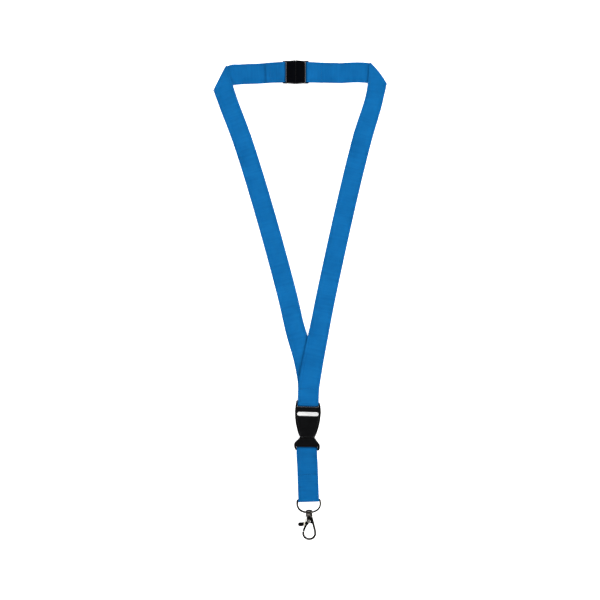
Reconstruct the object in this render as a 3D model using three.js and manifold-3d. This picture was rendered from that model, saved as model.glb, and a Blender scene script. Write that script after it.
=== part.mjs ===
// A neck lanyard laid flat on a table: a ribbon neck loop with a breakaway clip, a side-release
// buckle, a short ribbon loop, a D-ring and a small swivel snap hook.
// Millimetres. +Y runs from the hook up to the neck, +X to the right and +Z up off the table.
// The origin is on the table, below the middle of the whole outline.

import * as THREE from "three";
import { mergeVertices } from "three/addons/utils/BufferGeometryUtils.js";
import Module from "manifold-3d";

const wasm = await Module();
wasm.setup();

// ---- Driving dimensions ----

const gap = 0.3; // clearance between pieces that touch or slide

// Ribbon
const ribbonWidth = 20;
const ribbonThickness = 0.9;

// Neck loop, as it lies. The seam that closes it is the foot of the loop.
const cornerSpan = 159.4; // between the middles of the two folded corners
const loopRise = 311.5; // from the seam up to the left corner
const rightCornerLift = 4.9; // the right corner stands this much higher
const topBow = 4.6; // the top run stands this far above the left corner's middle
const seamOffset = 9.35; // the seam stands this far right of midway between the corners
const nearTopDrop = 21.5; // each side leaves its folded corner this far below the left corner
const leftNearTop = 72; // how far out the sides stand there, from midway between the corners
const rightNearTop = 74.3;
const leftSideBow = 5.95; // how far each side bows inwards at its middle
const rightSideBow = 4.05;
const upperBowPower = 3.2; // 2 is an even bow, and more bends it mostly near its end
const lowerBowPower = 2;
const seamHeight = 3.3; // the lower of the two layers stands this high at the seam

// Breakaway clip
const clipHalfLength = 9.5;
const clipThickness = 7;
const clipCrown = 0.8; // how much narrower the clip's ends are, on each side
const clipShift = -3.5; // from midway between the corners
const clipBarRadius = 1;
const clipArmWidth = 1;
const clipBelly = 0.4; // the clip's middle stands this far outside its arms, on each side
const clipEndWall = 1.9; // plastic between a prong's pocket and the clip's end
const prongWidth = 5;
const prongThickness = 2.4;
const prongSpacing = 10;
const prongRelease = 1.2; // the plug travels this far past its prongs' tips
const socketTail = 17.5; // sewn ribbon end, measured from the clip bar
const plugTail = 16;
const plugLap = 15; // how far the plug's ribbon end laps over the top run
const runGap = 1.5; // between the pulled plug's sewn end and the top run

// Buckle
const buckleTurn = THREE.MathUtils.degToRad(-1.6);
const buckleSide = 3; // the buckle is wider than the ribbon by this, on each side
const buckleThickness = 9;
const frameStep = 1; // the frame and the insert are thinner than the shell, on each face
const buckleBarRadius = 1.4;
const strapBarDrop = 14.1; // from the seam down to the strap bar
const leftEarLength = 5.4; // from the middle of the strap bar up to each ear's tip
const rightEarLength = 3.2;
const middleBarHeight = 4.8;
const windowHeight = 4.1;
const windowSideRoom = 0.65; // the window is wider than the ribbon by this, on each side
const shellHeadHeight = 2.6; // solid plastic between the window and the cavity
const shellLength = 20.7; // from the window down to the mouth
const shellWall = 1.7;
const mouthWidth = 12.4;
const mouthWaist = 15;
const shellSideInset = 2; // the shell's plates stand this far inside the arms' outline
const lipLength = 3.2; // of the frame's lips that cover the arms' tips
const insertLength = 13.4; // from the mouth to the lower end of the insert
const leftLobeLift = 1.1; // the insert's left lobe stands this much higher than the right one
const insertSideRoom = 0.5; // the insert's slot is wider than the ribbon by this, on each side
const insertBarRadius = 1.1;
const tongueWidth = 4.4;
const neckWidth = 8; // of the insert's neck, which stands between the arms' roots
const neckLength = 1.7;
const tongueTipRoom = 4.1; // from the tongue's tip to the cavity's blind end
const armWidth = 3.2;
const armTipRoom = 1.1; // from the arms' tips to the cavity's blind end

// Lower ribbon loop and D-ring
const lowerTurn = THREE.MathUtils.degToRad(2);
const lowerLength = 50.8; // from the insert's bar to the D-ring's bar
const lowerTail = 14; // overlap of the sewn end, tucked between the two layers
const ringWireRadius = 0.95;
const ringSideRoom = 0.6; // between the ribbon's edge and the ring's wire
const ringDepth = 12.5; // from the middle of the bar to the middle of the arc's wire
const arcFullness = 0.88; // 1 is half an ellipse, and less is squarer
const ringButt = 0.3; // the wire's two ends almost touch in the middle of the bar

// Swivel snap hook
const hookThickness = 4.6;
const eyeRoom = 0.8; // between the ring's wire and the eye's hole, all round
const eyeWall = 1.45;
const eyeWidth = 6.4;
const eyeTaper = 0.4; // how much narrower the eye is at its outside than at its hole
const eyeDrop = 0.4; // the eye's middle hangs this far below the middle of the wire
const eyeTurn = THREE.MathUtils.degToRad(8);
const collarRadius = 3.4;
const shoulderRadius = 2.8; // of the cone that joins the eye to the collar, at its top
const shoulderHeight = 1.1;
const collarLength = 1.2;
const postRadius = 0.9;
const postHeadRadius = 1.3;
const postHeadLength = 0.7;
const hookNeckWall = 1.2; // body metal that the swivel post passes through
const rivetRadius = 0.85;
const rivetHeadRadius = 1.65;
const rivetHeadHeight = 0.9; // with the clearance below it
const rivetDimpleRadius = 0.8; // the rivet is hollow at both ends
const rivetDimpleDepth = 0.7;
const hubWall = 0.85;
const hookBodyLeft = 2.5; // from the rivet's middle to each side of the body's top
const hookBodyRight = 3.6;
const hookWireRadius = 1.2;
const hookLoopRadius = 6; // to the middle of the wire
const hookLoopDrop = 11.75; // from the rivet to the loop's middle
const hookLoopShift = 0.15; // the loop's middle is this far right of the rivet
const gateThickness = 1.6;
const gateWidth = 2.1;
const tipAngle = 0.91 * Math.PI; // where the hook's tip meets the gate, round the loop's middle
const leverLength = 9.3; // from the rivet to the middle of the round tip
const leverDrop = 2.9;
const leverTipRadius = 1.8;
const leverThickness = 3.2;
const springThickness = 0.35;
const springWidth = 1;
const bodySlopeWidth = 1.2; // of the slope along the body's open side, on each face
const bodySlopeDrop = 0.35;

// Sewing
const threadWidth = 0.45;
const threadHeight = 0.3;
const stitchPitch = 2.2;
const stitchSwing = 1.6;
const seamMargin = 1.5; // stitches stop this far from the ribbon's edges

// ---- Values worked out from them ----

const layer = ribbonThickness + gap; // one ribbon lying on another
const halfRibbon = ribbonThickness / 2;
const up = new THREE.Vector3(0, 0, 1);
const clipWidth = ribbonWidth + 2 * (gap + clipArmWidth + clipBelly);
const clipMidZ = clipThickness / 2;
const prongLength = clipHalfLength - clipEndWall - gap;
const plugTravel = prongLength + prongRelease;
const buckleWidth = ribbonWidth + 2 * buckleSide;
const buckleMidZ = buckleThickness / 2;
const frameThickness = buckleThickness - 2 * frameStep;
const armThickness = buckleThickness - 2 * (shellWall + gap);
const strapSlot = buckleBarRadius + layer + gap; // strap bar to the slot's lower edge
const insertSlotWidth = ribbonWidth + 2 * insertSideRoom;
const ringWidth = ribbonWidth + 2 * (ringSideRoom + 2 * ringWireRadius);
const eyeHoleRadius = ringWireRadius + eyeRoom;
const eyeRadius = eyeHoleRadius + eyeWall;
const hubRadius = rivetRadius + gap + hubWall;
const pivotDrop = hookNeckWall + gap + postHeadLength + gap + hubRadius;
const eyeHalfHeight = (eyeHoleRadius + eyeWall / 2) * Math.cos(eyeTurn)
  + Math.hypot((eyeWall / 2) * Math.cos(eyeTurn), (eyeWidth / 2) * Math.sin(eyeTurn));
const hookMidZ = Math.max(hookThickness / 2 + rivetHeadHeight, eyeHalfHeight, collarRadius);

// ---- Materials ----

const ribbonBlue = { color: 0x146baf, roughness: 0.85, metalness: 0 };
const threadBlue = { color: 0x0f5fa0, roughness: 0.8, metalness: 0 };
const blackPlastic = { color: 0x0b0b0d, roughness: 0.45, metalness: 0 };
const darkNickel = { color: 0x4a4644, roughness: 0.25, metalness: 1 };
const springSteel = { color: 0xb8b8b4, roughness: 0.3, metalness: 1 };

// ---- Helpers ----

function named(name, geometry, look) {
  const mesh = new THREE.Mesh(geometry, new THREE.MeshStandardMaterial(look));
  mesh.name = name;
  return mesh;
}

function toSolid(geometry) {
  if (geometry instanceof wasm.Manifold) return geometry;
  const bare = geometry.clone();
  bare.deleteAttribute("normal");
  bare.deleteAttribute("uv");
  const merged = mergeVertices(bare, 1e-4);
  const vertProperties = new Float32Array(merged.attributes.position.array);
  const triVerts = new Uint32Array(merged.index.array);
  return new wasm.Manifold(new wasm.Mesh({ numProp: 3, vertProperties, triVerts }));
}

function fromSolid(solid) {
  const { vertProperties, triVerts } = solid.getMesh();
  const geometry = new THREE.BufferGeometry();
  geometry.setAttribute("position", new THREE.BufferAttribute(vertProperties, 3));
  geometry.setIndex(new THREE.BufferAttribute(triVerts, 1));
  geometry.computeVertexNormals();
  return geometry;
}

function join(...geometries) {
  return geometries.map(toSolid).reduce((whole, piece) => whole.add(piece));
}

function cut(whole, ...geometries) {
  return geometries.map(toSolid).reduce((left, piece) => left.subtract(piece), toSolid(whole));
}

function box(x0, x1, y0, y1, z0, z1) {
  const geometry = new THREE.BoxGeometry(x1 - x0, y1 - y0, z1 - z0);
  return geometry.translate((x0 + x1) / 2, (y0 + y1) / 2, (z0 + z1) / 2);
}

// A flat outline in X and Y, as thick as given and level about Z = 0.
function plate(shape, thickness, curveSegments = 8) {
  const geometry = new THREE.ExtrudeGeometry(shape, {
    depth: thickness,
    bevelEnabled: false,
    curveSegments,
  });
  return geometry.translate(0, 0, -thickness / 2);
}

function rodAlong(axis, radius, from, to, sides = 20) {
  const rod = new THREE.CylinderGeometry(radius, radius, to - from, sides);
  rod.translate(0, (from + to) / 2, 0);
  if (axis === "x") rod.rotateZ(-Math.PI / 2);
  if (axis === "z") rod.rotateX(Math.PI / 2);
  return rod;
}

function circle(radius, sides) {
  const shape = new THREE.Shape();
  for (let i = 0; i < sides; i += 1) {
    const angle = (2 * Math.PI * i) / sides;
    const x = radius * Math.cos(angle);
    const y = radius * Math.sin(angle);
    if (i === 0) shape.moveTo(x, y);
    else shape.lineTo(x, y);
  }
  shape.closePath();
  return shape;
}

function wire(path, radius, steps, sides = 10) {
  return new THREE.ExtrudeGeometry(circle(radius, sides), { steps, extrudePath: path });
}

// A closed outline through points that stand at (half width, y). Both lists run downwards, and
// without a left side of its own the outline is mirrored.
function sidedOutline(rightSide, leftSide = rightSide) {
  const mirrored = leftSide.map(([x, y]) => [-x, y]).reverse();
  return new THREE.Shape([...rightSide, ...mirrored].map(([x, y]) => new THREE.Vector2(x, y)));
}

function stadium(width, height, y) {
  const shape = new THREE.Shape();
  const radius = height / 2;
  const side = width / 2 - radius;
  shape.absarc(side, y, radius, -Math.PI / 2, Math.PI / 2);
  shape.absarc(-side, y, radius, Math.PI / 2, (3 * Math.PI) / 2);
  return shape;
}

// ---- Ribbons ----

// Stations evenly spaced along a smooth line through the given points, never below the table.
function smoothRoute(points, spacing) {
  const line = new THREE.CatmullRomCurve3(
    points.map(([x, y, z]) => new THREE.Vector3(x, y, z)),
    false,
    "centripetal",
  );
  const stations = line.getSpacedPoints(Math.max(4, Math.round(line.getLength() / spacing)));
  for (const station of stations) station.z = Math.max(station.z, halfRibbon);
  return stations;
}

// Half a turn round a bar: from above it to below it, or the other way, past its far side.
function roundBar(middle, heading, radius, startAbove) {
  const turn = [];
  const steps = 10;
  for (let i = 0; i <= steps; i += 1) {
    const angle = (startAbove ? 1 : -1) * (Math.PI / 2 - (Math.PI * i) / steps);
    turn.push(
      middle
        .clone()
        .addScaledVector(heading, radius * Math.cos(angle))
        .addScaledVector(up, radius * Math.sin(angle)),
    );
  }
  return turn;
}

function headingAt(stations, i) {
  const before = stations[Math.max(0, i - 1)];
  const after = stations[Math.min(stations.length - 1, i + 1)];
  return after.clone().sub(before).normalize();
}

// The line that a flat ribbon folds over lies halfway between the two runs' headings.
function foldLine(headingIn, headingOut) {
  return headingIn.clone().add(headingOut).setZ(0).normalize();
}

// A strip bent along its stations. Its crosswise direction stays level. An end that meets a
// fold leans along the fold's line, fading to square within about one ribbon's width.
function ribbon(stations, { startFold = null, endFold = null } = {}) {
  const steps = stations.length - 1;
  const along = [0];
  for (let i = 1; i <= steps; i += 1) {
    along.push(along[i - 1] + stations[i].distanceTo(stations[i - 1]));
  }
  const frames = [];
  let side = up.clone().cross(headingAt(stations, 0)).normalize();
  for (let i = 0; i <= steps; i += 1) {
    const heading = headingAt(stations, i);
    const level = up.clone().cross(heading);
    if (level.length() > 0.25) {
      level.normalize();
      side = level.dot(side) < 0 ? level.negate() : level;
    }
    frames.push({ heading, side: side.clone(), normal: heading.clone().cross(side).normalize() });
  }
  const leanOver = (fold, frame) => fold.dot(frame.heading) / fold.dot(frame.side);
  const fade = (distance) => {
    const t = Math.min(1, distance / (1.3 * ribbonWidth));
    return 1 - t * t * (3 - 2 * t);
  };
  const strip = new THREE.BoxGeometry(ribbonWidth, ribbonThickness, steps, 2, 1, steps);
  const position = strip.attributes.position;
  const vertex = new THREE.Vector3();
  for (let i = 0; i < position.count; i += 1) {
    vertex.fromBufferAttribute(position, i);
    const station = Math.round(vertex.z + steps / 2);
    const frame = frames[station];
    let lean = 0;
    if (startFold) lean += leanOver(startFold, frames[0]) * fade(along[station]);
    if (endFold) lean += leanOver(endFold, frames[steps]) * fade(along[steps] - along[station]);
    const point = stations[station]
      .clone()
      .addScaledVector(frame.side, vertex.x)
      .addScaledVector(frame.heading, vertex.x * lean)
      .addScaledVector(frame.normal, vertex.y);
    position.setXYZ(i, point.x, point.y, point.z);
  }
  return strip;
}

// A flat zigzag of thread, running along X about Y = 0, with its underside on Z = 0.
function zigzag(length) {
  const turns = Math.round(length / (stitchPitch / 2));
  const upper = [];
  const lower = [];
  for (let i = 0; i <= turns; i += 1) {
    const x = -length / 2 + (length * i) / turns;
    const y = (i % 2 ? 1 : -1) * (stitchSwing / 2);
    upper.push(new THREE.Vector2(x, y + threadWidth));
    lower.push(new THREE.Vector2(x, y - threadWidth));
  }
  const band = new THREE.Shape([...lower, ...upper.reverse()]);
  return new THREE.ExtrudeGeometry(band, { depth: threadHeight, bevelEnabled: false });
}

// ---- Buckle, in its own frame: the strap bar's middle is the origin ----

const windowTop = -(strapSlot + middleBarHeight);
const windowBottom = windowTop - windowHeight;
const shellTop = windowBottom - shellHeadHeight; // the cavity's blind end
const mouthY = windowBottom - shellLength;
const insertBottom = mouthY - insertLength;
const insertBarY = insertBottom + insertBarRadius;

// Half the width of the closed buckle at each height, down to the mouth.
function sideAt(y) {
  const top = buckleWidth / 2;
  const waist = mouthWaist / 2;
  const t = THREE.MathUtils.clamp((y - mouthY) / (windowTop - mouthY), 0, 1);
  return waist + (top - waist) * Math.sin((t * Math.PI) / 2) ** 0.8;
}

function buckleHousing() {
  const half = buckleWidth / 2;
  const frameSide = (earLength) => [
    [half - 2.4, earLength - 1.4],
    [half - 1.5, earLength - 1.8],
    [half - 0.9, earLength - 3.4],
    [half - 0.4, earLength - 6],
    [half, windowTop],
    [half - 0.2, windowBottom],
    [sideAt(shellTop) - 0.1, shellTop],
    [sideAt(shellTop - lipLength + 1) - 0.1, shellTop - lipLength + 1],
    [sideAt(shellTop - lipLength) - 0.8, shellTop - lipLength],
  ];
  const ears = sidedOutline(frameSide(rightEarLength), frameSide(leftEarLength));
  const plateOutline = [[half - 0.4, windowBottom + 0.6]];
  const rows = 6;
  for (let i = 0; i <= rows; i += 1) {
    const y = windowBottom - ((windowBottom - mouthY) * i) / rows;
    plateOutline.push([Math.max(mouthWidth / 2, sideAt(y) - shellSideInset), y]);
  }
  const shell = plate(sidedOutline(plateOutline), buckleThickness);
  const opening = ribbonWidth / 2 + 2 * gap;
  const body = cut(
    join(plate(ears, frameThickness), shell),
    // room round the strap bar, the see-through window and the insert's cavity
    box(-opening, opening, -strapSlot, leftEarLength + 1, -buckleThickness, buckleThickness),
    plate(stadium(ribbonWidth + 2 * windowSideRoom, windowHeight, (windowTop + windowBottom) / 2), 2 * buckleThickness),
    box(-half - 1, half + 1, mouthY - 1, shellTop, -armThickness / 2 - gap, armThickness / 2 + gap),
  );
  const bar = rodAlong("x", buckleBarRadius, -opening - 1.2, opening + 1.2, 16);
  return body.add(toSolid(bar));
}

function buckleInsert() {
  const lobe = buckleWidth / 2;
  const waist = mouthWaist / 2;
  const top = mouthY - gap;
  const lobeSide = (lift) => [
    [waist, top],
    [waist + 0.35, top - 1.2],
    [lobe - 0.4, insertBottom + 6 + lift],
    [lobe, insertBottom + 4.6 + lift],
    [lobe - 0.2, insertBottom + 1.9 + lift],
    [lobe - 1.3, insertBottom + lift / 2],
    [insertSlotWidth / 2 + 0.2, insertBottom],
  ];
  const outline = sidedOutline(lobeSide(0), lobeSide(leftLobeLift));
  const slotTop = insertBarY + insertBarRadius + layer + gap;
  const opening = insertSlotWidth / 2;
  const base = cut(
    plate(outline, frameThickness),
    box(-opening, opening, insertBottom - 1, slotTop, -buckleThickness, buckleThickness),
  );
  const bar = rodAlong("x", insertBarRadius, -opening - 1, opening + 1, 16);
  bar.translate(0, insertBarY, 0);
  const tongueTop = shellTop - tongueTipRoom;
  const tongueShape = sidedOutline([
    [tongueWidth / 2 - 0.9, tongueTop],
    [tongueWidth / 2, tongueTop - 2],
    [tongueWidth / 2, top + neckLength + 1.5],
    [neckWidth / 2, top + neckLength],
    [neckWidth / 2, top - 1],
  ]);
  const tongue = plate(tongueShape, armThickness - 0.6);
  return base.add(toSolid(bar)).add(toSolid(tongue));
}

// A springy arm, for the right side: it stands on the insert and follows the buckle's outline.
const armRootY = mouthY;
const armLength = shellTop - armTipRoom - armRootY;

function buckleArm(sign) {
  const outer = [];
  const inner = [];
  const rows = 7;
  for (let i = 0; i <= rows; i += 1) {
    const y = armRootY + (armLength * i) / rows;
    const x = sideAt(y);
    outer.push(new THREE.Vector2(sign * x, y));
    inner.push(new THREE.Vector2(sign * (x - armWidth), y - (i === rows ? 1.2 : 0)));
  }
  const outline = new THREE.Shape([...outer, ...inner.reverse()]);
  return plate(outline, armThickness);
}

// ---- Breakaway clip, in its own frame: the split between its halves is X = 0 ----

const clipBarX = clipHalfLength + gap + ribbonThickness + gap + clipBarRadius;

// One half of the clip, on the side that sign points to.
function clipShell(sign) {
  const half = clipWidth / 2;
  const start = gap / 2;
  const outline = new THREE.Shape([
    new THREE.Vector2(sign * start, -half),
    new THREE.Vector2(sign * clipHalfLength, clipCrown - half),
    new THREE.Vector2(sign * clipHalfLength, half - clipCrown),
    new THREE.Vector2(sign * start, half),
  ]);
  const armInner = ribbonWidth / 2 + gap;
  const armOuter = armInner + clipArmWidth;
  const reach = clipBarX + clipBarRadius;
  const inside = clipHalfLength - 1;
  const xs = sign > 0 ? [inside, reach] : [-reach, -inside];
  const armZ = clipBarRadius + 0.6;
  const bar = rodAlong("y", clipBarRadius, -armInner - 0.5, armInner + 0.5, 16);
  return join(
    plate(outline, clipThickness),
    box(...xs, armInner, armOuter, -armZ, armZ),
    box(...xs, -armOuter, -armInner, -armZ, armZ),
    bar.translate(sign * clipBarX, 0, 0),
  );
}

function breakawaySocket() {
  const pockets = [-1, 1].map((sign) => {
    const y = (sign * prongSpacing) / 2;
    const half = prongWidth / 2 + gap;
    const thick = prongThickness / 2 + gap;
    return box(-prongLength - gap, 1, y - half, y + half, -thick, thick);
  });
  return cut(clipShell(-1), ...pockets);
}

function breakawayPlug() {
  const prongs = [-1, 1].map((sign) => {
    const y = (sign * prongSpacing) / 2;
    const half = prongWidth / 2;
    return box(-prongLength, 1, y - half, y + half, -prongThickness / 2, prongThickness / 2);
  });
  return clipShell(1).add(join(...prongs));
}

// ---- D-ring, in its own frame: the bar's middle is the origin and the arc hangs below ----

function dRing() {
  const half = ringWidth / 2 - ringWireRadius;
  const straight = ribbonWidth / 2 + 0.1;
  const corner = half - straight;
  const arcTop = -2.4 * corner;
  const leftSide = [
    [-ringButt / 2, 0],
    [-straight / 2, 0],
    [-straight, 0],
    [-straight - 0.62 * corner, -0.28 * corner],
    [-half + 0.12 * corner, -1.1 * corner],
    [-half, arcTop],
  ];
  const points = [...leftSide];
  const arcDepth = ringDepth + arcTop;
  const full = (share) => Math.sign(share) * Math.abs(share) ** arcFullness;
  const arcSteps = 10;
  for (let i = 1; i < arcSteps; i += 1) {
    const angle = Math.PI + (Math.PI * i) / arcSteps;
    points.push([half * full(Math.cos(angle)), arcTop + arcDepth * full(Math.sin(angle))]);
  }
  points.push(...leftSide.map(([x, y]) => [-x, y]).reverse());
  const path = new THREE.CatmullRomCurve3(
    points.map(([x, y]) => new THREE.Vector3(x, y, 0)),
    false,
    "centripetal",
  );
  return wire(path, ringWireRadius, 64);
}

// ---- Snap hook, in its own frame: the ring's wire is the origin and the hook hangs below ----

const collarTop = -eyeDrop - eyeRadius + 0.6;
const collarBottom = collarTop - collarLength;
const bodyTop = collarBottom - gap;
const pivotY = bodyTop - pivotDrop;
const bodyBottom = pivotY - hubRadius - 0.1;
const loopY = pivotY - hookLoopDrop;
const spineX = hubRadius + gap; // the gate slot's closed side
const slotHalf = gateThickness / 2 + gap;
const loopPoint = (angle) => new THREE.Vector3(
  hookLoopShift + hookLoopRadius * Math.cos(angle),
  loopY + hookLoopRadius * Math.sin(angle),
  0,
);
const gateReach = loopPoint(tipAngle).distanceTo(new THREE.Vector3(0, pivotY, 0));

function swivelEye() {
  const profile = [];
  const sides = 10;
  const tube = eyeWall / 2;
  for (let i = 0; i <= sides; i += 1) {
    const angle = (2 * Math.PI * i) / sides;
    const narrowed = 1 - eyeTaper * Math.max(0, Math.cos(angle));
    const across = (eyeWidth / 2) * narrowed * Math.sin(angle);
    profile.push(new THREE.Vector2(eyeHoleRadius + tube + tube * Math.cos(angle), across));
  }

  const eye = new THREE.LatheGeometry(profile, 28).rotateZ(Math.PI / 2);
  const headTop = bodyTop - hookNeckWall - gap;
  return join(
    eye.translate(0, -eyeDrop, 0).rotateY(eyeTurn),
    new THREE.CylinderGeometry(shoulderRadius, collarRadius, shoulderHeight, 28)
      .translate(0, collarBottom + collarLength + shoulderHeight / 2 - 0.02, 0),
    rodAlong("y", collarRadius, collarBottom, collarTop, 28),
    rodAlong("y", postRadius, headTop - postHeadLength / 2, collarTop, 16),
    rodAlong("y", postHeadRadius, headTop - postHeadLength, headTop, 16),
  );
}

// Everything on the gate's side of the split, as a disc about the rivet.
function splitDisc(radius) {
  const disc = rodAlong("z", radius, -hookThickness, hookThickness, 64).translate(0, pivotY, 0);
  const reach = 2 * gateReach;
  return toSolid(disc).intersect(toSolid(box(-reach, -1, -reach - 10, 0, -10, 10)));
}

function hookBody() {
  const right = hookBodyRight;
  const left = -hookBodyLeft;
  const outline = new THREE.Shape();
  outline.moveTo(left + 0.3, bodyTop);
  outline.lineTo(right - 0.4, bodyTop);
  outline.lineTo(right + 0.5, bodyTop - 2.4);
  outline.lineTo(right + 1.5, bodyBottom);
  outline.quadraticCurveTo(right - 1.4, bodyBottom + 0.3, right - 3.4, bodyBottom + 0.4);
  outline.quadraticCurveTo(left + 1, bodyBottom + 0.4, left, bodyBottom + 1.4);
  outline.lineTo(left, bodyTop - 1.4);
  const loop = [];
  const turns = 12;
  const start = tipAngle - 0.1;
  const end = 2.04 * Math.PI;
  for (let i = 0; i <= turns; i += 1) loop.push(loopPoint(start + ((end - start) * i) / turns));
  const shoulder = new THREE.Vector3(right + 0.9, bodyBottom - 1.6, 0);
  const root = new THREE.Vector3(right - 0.2, bodyBottom + 1.6, 0);
  const path = new THREE.CatmullRomCurve3([...loop, shoulder, root], false, "centripetal");
  const head = postHeadRadius + gap;
  const headBottom = bodyTop - hookNeckWall - gap - postHeadLength - gap;
  const slotTop = pivotY + hubRadius + gap;
  const solid = cut(
    join(plate(outline, hookThickness), wire(path, hookWireRadius, 40)),
    rodAlong("y", postRadius + gap, bodyTop - hookNeckWall - 0.5, bodyTop + 1, 20),
    rodAlong("y", head, headBottom, bodyTop - hookNeckWall, 20),
    box(-20, spineX, bodyBottom - 1, slotTop, -slotHalf, slotHalf),
    rodAlong("z", rivetRadius + gap, -10, 10, 20).translate(0, pivotY, 0),
  );
  const slopes = [-1, 1].map((face) => {
    const reach = bodyTop - bodyBottom;
    const slope = box(-reach, 0, -reach, reach, Math.min(0, reach * face), Math.max(0, reach * face));
    return slope
      .rotateY(-face * Math.atan2(bodySlopeDrop, bodySlopeWidth))
      .translate(left + bodySlopeWidth, pivotY, (face * hookThickness) / 2);
  });
  const sloped = cut(solid, ...slopes);
  return sloped.subtract(splitDisc(gateReach + gap / 2).subtract(toSolid(
    box(-2 * hookBodyLeft, 10, bodyBottom, 10, -10, 10),
  )));
}

function gateLever() {
  const arm = [
    new THREE.Vector3(-0.6, pivotY - 0.8, 0),
    new THREE.Vector3(-2.6, pivotY - 3.2, 0),
    new THREE.Vector3(-4.1, pivotY - 5.7, 0),
    new THREE.Vector3(-5.1, pivotY - 8.1, 0),
    loopPoint(tipAngle + 0.15),
  ];
  const armPath = new THREE.CatmullRomCurve3(arm, false, "centripetal");
  const armBar = new THREE.ExtrudeGeometry(
    new THREE.Shape([
      new THREE.Vector2(-gateThickness / 2, -gateWidth / 2),
      new THREE.Vector2(gateThickness / 2, -gateWidth / 2),
      new THREE.Vector2(gateThickness / 2, gateWidth / 2),
      new THREE.Vector2(-gateThickness / 2, gateWidth / 2),
    ]),
    { steps: 18, extrudePath: armPath },
  );
  const tip = new THREE.Vector2(-leverLength, pivotY - leverDrop);
  const lever = new THREE.Shape();
  lever.moveTo(0, pivotY - 1.5);
  lever.lineTo(tip.x + 0.3, tip.y - leverTipRadius);
  lever.absarc(tip.x, tip.y, leverTipRadius, -Math.PI / 2, Math.PI / 2, true);
  lever.lineTo(-4.2, pivotY - 0.6);
  lever.lineTo(0, pivotY + 1.2);
  const pad = new THREE.Shape();
  pad.moveTo(-5.6, tip.y - leverTipRadius + 0.15);
  pad.lineTo(tip.x, tip.y - leverTipRadius);
  pad.absarc(tip.x, tip.y, leverTipRadius, -Math.PI / 2, Math.PI / 2, true);
  pad.lineTo(-5.6, tip.y + leverTipRadius - 0.1);
  const hub = rodAlong("z", hubRadius, -gateThickness / 2, gateThickness / 2, 28);
  const bore = rodAlong("z", rivetRadius + gap, -5, 5, 20).translate(0, pivotY, 0);
  const reach = rodAlong("z", gateReach - gap / 2, -5, 5, 64).translate(0, pivotY, 0);
  return cut(
    join(
      hub.translate(0, pivotY, 0),
      toSolid(armBar).intersect(toSolid(reach)),
      plate(lever, gateThickness),
      plate(pad, leverThickness),
    ),
    bore,
  );
}

// A hollow rivet: each head is a rolled rim round a dimple.
function gateRivet() {
  const inner = hookThickness / 2 + gap;
  const outer = hookThickness / 2 + rivetHeadHeight;
  const rim = (rivetHeadRadius - rivetDimpleRadius) / 2;
  const ends = [-1, 1].map((face) => {
    const top = face * outer;
    const foot = face * inner;
    const roll = new THREE.TorusGeometry(rivetHeadRadius - rim, rim, 12, 28);
    return {
      head: join(
        rodAlong("z", rivetHeadRadius - rim, Math.min(top, foot), Math.max(top, foot), 28),
        roll.scale(1, 1, (outer - inner) / (2 * rim)).translate(0, 0, (top + foot) / 2),
      ),
      dimple: rodAlong("z", rivetDimpleRadius, top - rivetDimpleDepth, top + rivetDimpleDepth, 20),
    };
  });
  const shank = rodAlong("z", rivetRadius, -outer, outer, 20);
  return cut(join(shank, ...ends.map((end) => end.head)), ...ends.map((end) => end.dimple));
}

// A bright leaf spring that runs over the lever's root, beside the body.
function gateSpring() {
  const line = [[-3.4, 3], [-3.9, 1.4], [-4.5, -0.8], [-5.1, -4.8]];
  const side = (offset) => line.map(([x, y]) => new THREE.Vector2(x + offset, pivotY + y));
  const outline = new THREE.Shape([...side(springWidth / 2), ...side(-springWidth / 2).reverse()]);
  const height = leverThickness / 2 + gap + springThickness / 2;
  return plate(outline, springThickness).translate(0, 0, height);
}

// ---- Assembly ----

const lanyard = new THREE.Group();

// Neck loop. The seam that closes it stands at Y = 0 here, with X = 0 midway between the corners.
const leftCorner = new THREE.Vector3(-cornerSpan / 2, loopRise, halfRibbon);
const rightCorner = new THREE.Vector3(cornerSpan / 2, loopRise + rightCornerLift, halfRibbon);
const seamX = seamOffset;
const strapBarX = seamX - 0.4;
const clipY = loopRise + topBow + 1.1;
const nearTopRise = loopRise - nearTopDrop;
const strapLoopRadius = buckleBarRadius + gap + halfRibbon;
const clipLoopRadius = clipBarRadius + gap + halfRibbon;

// A point part of the way down a side, bowed inwards from the straight line to the seam.
function sidePoint(side, rise, height) {
  const t = rise / nearTopRise;
  const power = t > 0.5 ? upperBowPower : lowerBowPower;
  const bow = -Math.sign(side.nearTop) * side.bow * (1 - Math.abs(2 * t - 1) ** power);
  return [seamX + (side.nearTop - seamX) * t + bow, rise, height];
}

function sideRoute(side, lowerPoints) {
  return [
    [side.corner.x, side.corner.y, halfRibbon + layer],
    sidePoint(side, nearTopRise, halfRibbon + layer),
    sidePoint(side, nearTopRise * 0.86, halfRibbon),
    sidePoint(side, nearTopRise * 0.62, halfRibbon),
    sidePoint(side, nearTopRise * 0.33, halfRibbon),
    ...lowerPoints,
  ];
}

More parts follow.
